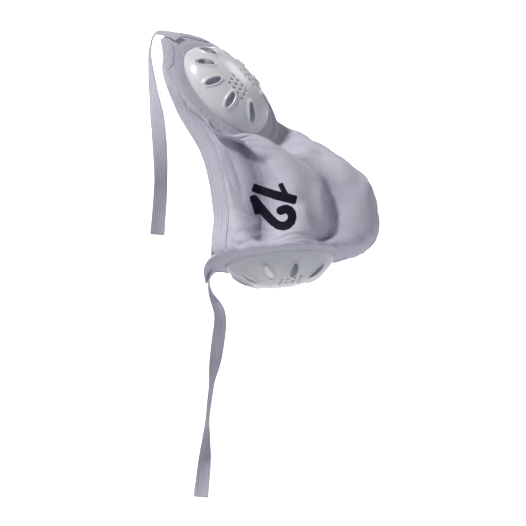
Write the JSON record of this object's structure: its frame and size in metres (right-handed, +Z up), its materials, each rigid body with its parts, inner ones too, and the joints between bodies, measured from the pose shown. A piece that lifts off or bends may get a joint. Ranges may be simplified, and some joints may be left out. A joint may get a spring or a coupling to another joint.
{
  "type": "water polo cap",
  "caption": "Soft cloth water polo bonnet with moulded ear guards, tape-bound edges and chin ties, hanging from one guard so that it is stored and dried with others",
  "frame": {"origin": "the middle of the wide slot at the jaw end of the upper ear guard, on the guard's outer face, where a cord carries the hanging cap", "axes": "+Z up, +X from the face opening towards the crown, -Y towards the viewer, the side of the wearer's forehead"},
  "size_m": [0.2167, 0.11, 0.4391],
  "materials": {
    "cloth": "matt knit",
    "guard_plastic": "soft gloss, slightly translucent",
    "tape": "matt woven tape"
  },
  "bodies": {
    "root": {"centre_panel": "cloth", "upper_side_panel": "cloth", "lower_side_panel": "cloth", "upper_ear_guard": "guard_plastic", "lower_ear_guard": "guard_plastic", "front_binding": "tape", "neck_binding": "tape", "upper_tie_tape": "tape", "lower_tie_tape": "tape"}
  },
  "joints": []
}
